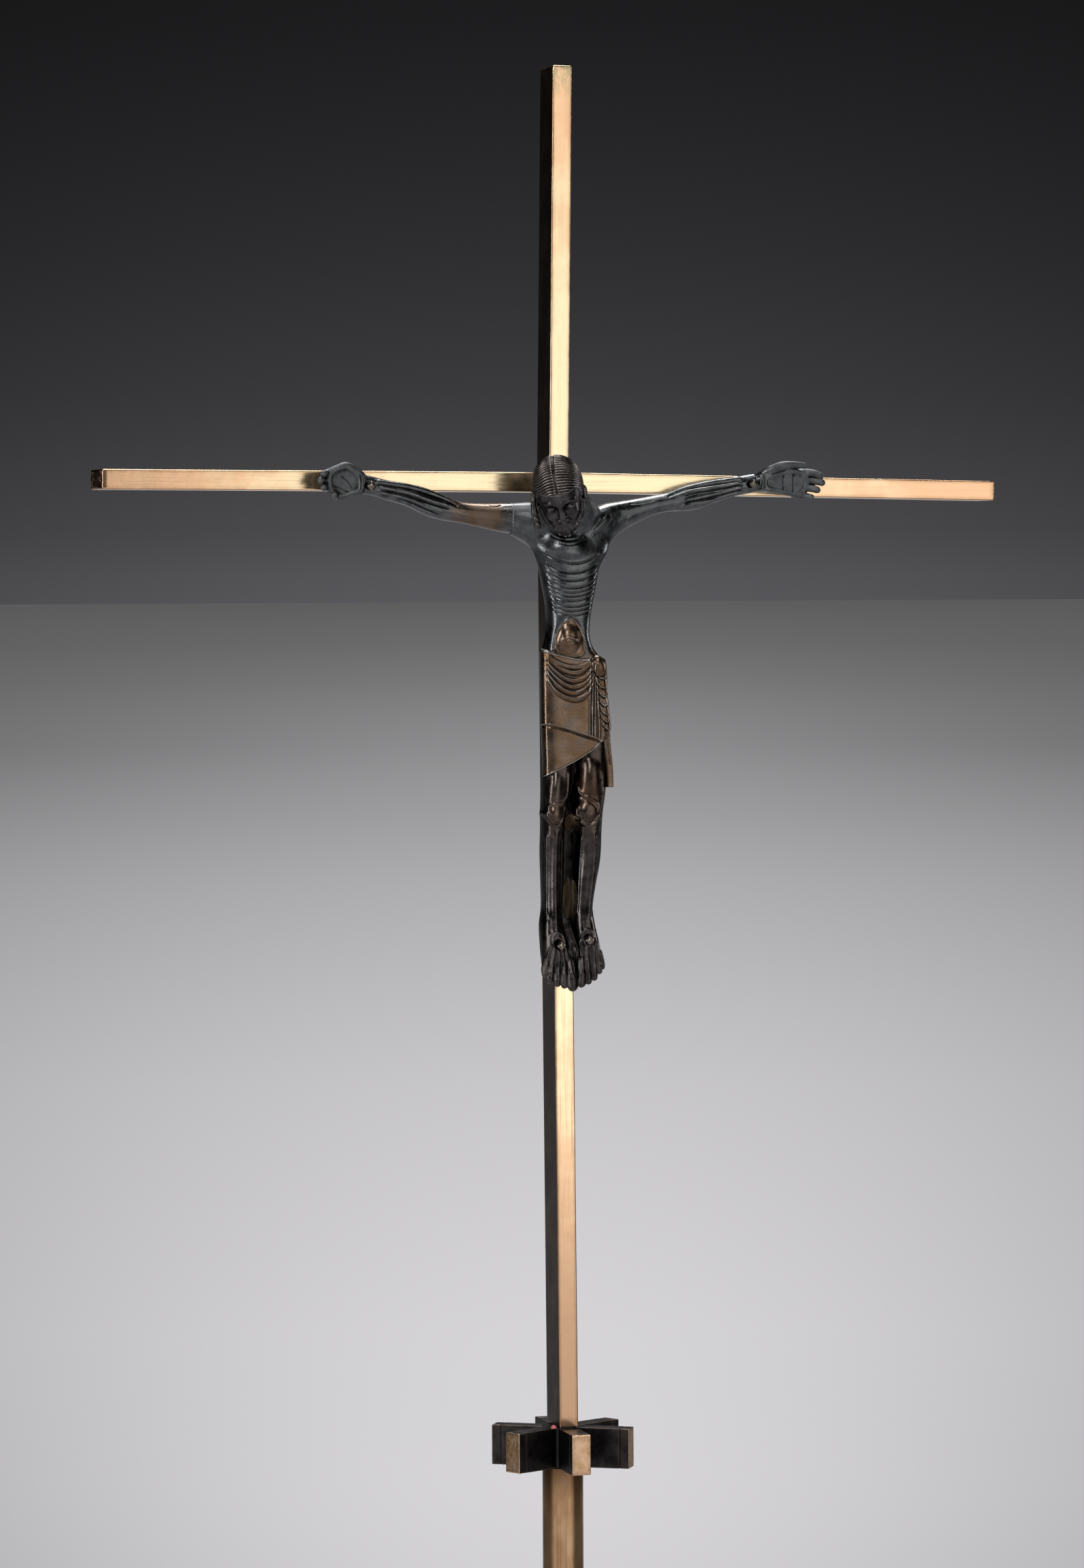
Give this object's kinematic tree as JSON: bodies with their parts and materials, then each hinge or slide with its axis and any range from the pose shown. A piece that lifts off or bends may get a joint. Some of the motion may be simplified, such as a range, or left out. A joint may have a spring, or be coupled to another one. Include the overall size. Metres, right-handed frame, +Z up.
{
  "type": "processional cross",
  "caption": "Bronze processional cross with a corpus, on a round brass staff with a star-shaped knop; the cross lifts out of the staff.",
  "frame": {"origin": "middle of the flat end of the staff's foot", "axes": "+Z up along the staff; +X along the crossbar, to the right as the corpus is looked at; -Y is the front, where the corpus is"},
  "size_m": [0.5672, 0.1186, 2.0608],
  "materials": {
    "bar_bronze": "polished pale bronze, fine brushing along the bar, worn dark along the edges",
    "corpus_patina": "dark brown to blue-black patinated cast bronze, rubbed glossy on the high places",
    "nail_bronze": "dark patinated bronze",
    "steel": "plain turned steel",
    "knop_patina": "near-black patinated bronze, satin",
    "knop_bronze": "polished bronze with dark worn edges",
    "staff_brass": "brushed aged brass tube"
  },
  "bodies": {
    "staff": {"staff_foot": "staff_brass", "staff_tube": "staff_brass", "socket_sleeve": "staff_brass", "knop_hub": "knop_patina", "knop_arm_1": "knop_patina", "knop_arm_2": "knop_patina", "knop_arm_3": "knop_patina", "knop_arm_4": "knop_patina", "knop_arm_5": "knop_patina", "knop_arm_6": "knop_patina", "knop_cap_1": "knop_bronze", "knop_cap_2": "knop_bronze", "knop_cap_3": "knop_bronze", "knop_cap_4": "knop_bronze", "knop_cap_5": "knop_bronze", "knop_cap_6": "knop_bronze"},
    "cross": {"chest_boss": "nail_bronze", "chest_screw": "steel", "corpus_body": "corpus_patina", "corpus_left_arm": "corpus_patina", "corpus_right_arm": "corpus_patina", "crossing_block": "bar_bronze", "foot_nail_left": "nail_bronze", "foot_nail_right": "nail_bronze", "heel_boss": "nail_bronze", "heel_screw": "steel", "left_arm": "bar_bronze", "lower_upright": "bar_bronze", "right_arm": "bar_bronze", "shoulder_dowel_left": "steel", "shoulder_dowel_right": "steel", "spigot": "steel", "upper_arm": "bar_bronze", "wrist_boss_left": "nail_bronze", "wrist_boss_right": "nail_bronze", "wrist_nail_left": "nail_bronze", "wrist_nail_right": "nail_bronze"}
  },
  "joints": [
    {"name": "lift_out", "type": "slide", "parent": "staff", "child": "cross", "axis": [0, 0, 1], "range_m": [0, 0.115]}
  ]
}
